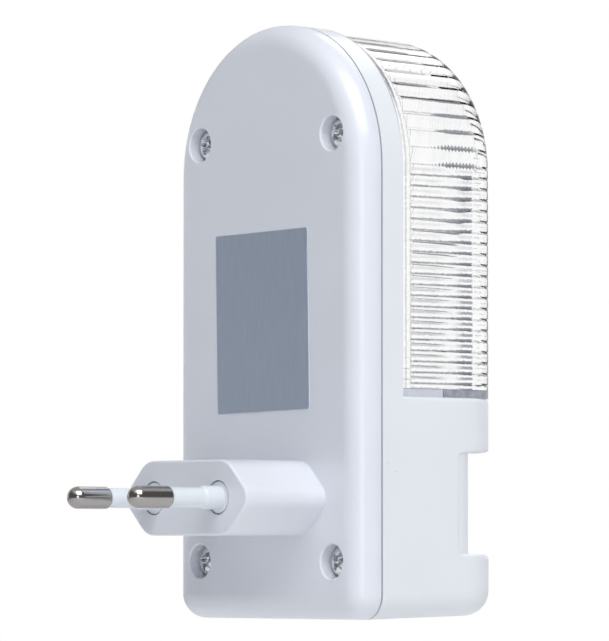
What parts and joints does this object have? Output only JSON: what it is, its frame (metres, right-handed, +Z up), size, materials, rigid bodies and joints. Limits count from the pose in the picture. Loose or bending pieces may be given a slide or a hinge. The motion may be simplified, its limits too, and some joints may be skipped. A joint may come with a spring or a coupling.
{
  "type": "plug in night light",
  "caption": "Wall plug night light with an arched casing, a ribbed clear lens, a light sensor in a front channel and a two-pin plug block.",
  "frame": {"origin": "centre of the plug block's contact face, halfway between the pins", "axes": "+Y along the pins into the wall, +Z up, -Y towards the lens and the room, +X to the right seen from the front"},
  "size_m": [0.0536, 0.0738, 0.108],
  "materials": {
    "housing_white": "semi-gloss moulded",
    "cover_white": "semi-gloss moulded",
    "lens_clear": "clear, finely ribbed",
    "window_clear": "clear",
    "label_foil": "silver blue foil, unprinted",
    "screw_steel": "zinc plated",
    "pin_nickel": "nickel plated",
    "sleeve_white": "moulded",
    "board_laminate": "green solder mask",
    "capacitor_film_case": "yellow moulded case",
    "capacitor_can": "dark sleeve",
    "black_epoxy": "moulded epoxy",
    "resistor_body": "lacquered",
    "diode_glass": "glass body",
    "led_epoxy": "water clear epoxy",
    "sensor_face": "photocell face",
    "sleeve_tube": "insulating tube",
    "wire_insulation": "insulated wire"
  },
  "bodies": {
    "root": {"rear_cover": "cover_white", "front_housing": "housing_white", "lens": "lens_clear", "sensor_window": "window_clear", "rating_label": "label_foil", "case_screws": "screw_steel", "left_pin": "pin_nickel", "right_pin": "pin_nickel", "left_pin_sleeve": "sleeve_white", "right_pin_sleeve": "sleeve_white", "circuit_board": "board_laminate", "board_screws": "screw_steel", "leds": "led_epoxy", "light_sensor": "sensor_face", "sensor_lead_sleeves": "sleeve_tube", "film_capacitor": "capacitor_film_case", "electrolytic_capacitor": "capacitor_can", "bridge_rectifier": "black_epoxy", "transistor": "black_epoxy", "surge_resistor": "resistor_body", "zener_diode": "diode_glass", "bleeder_resistor": "resistor_body", "led_resistor": "resistor_body", "sensor_resistor": "resistor_body", "left_mains_wire": "wire_insulation", "right_mains_wire": "wire_insulation"}
  },
  "joints": []
}
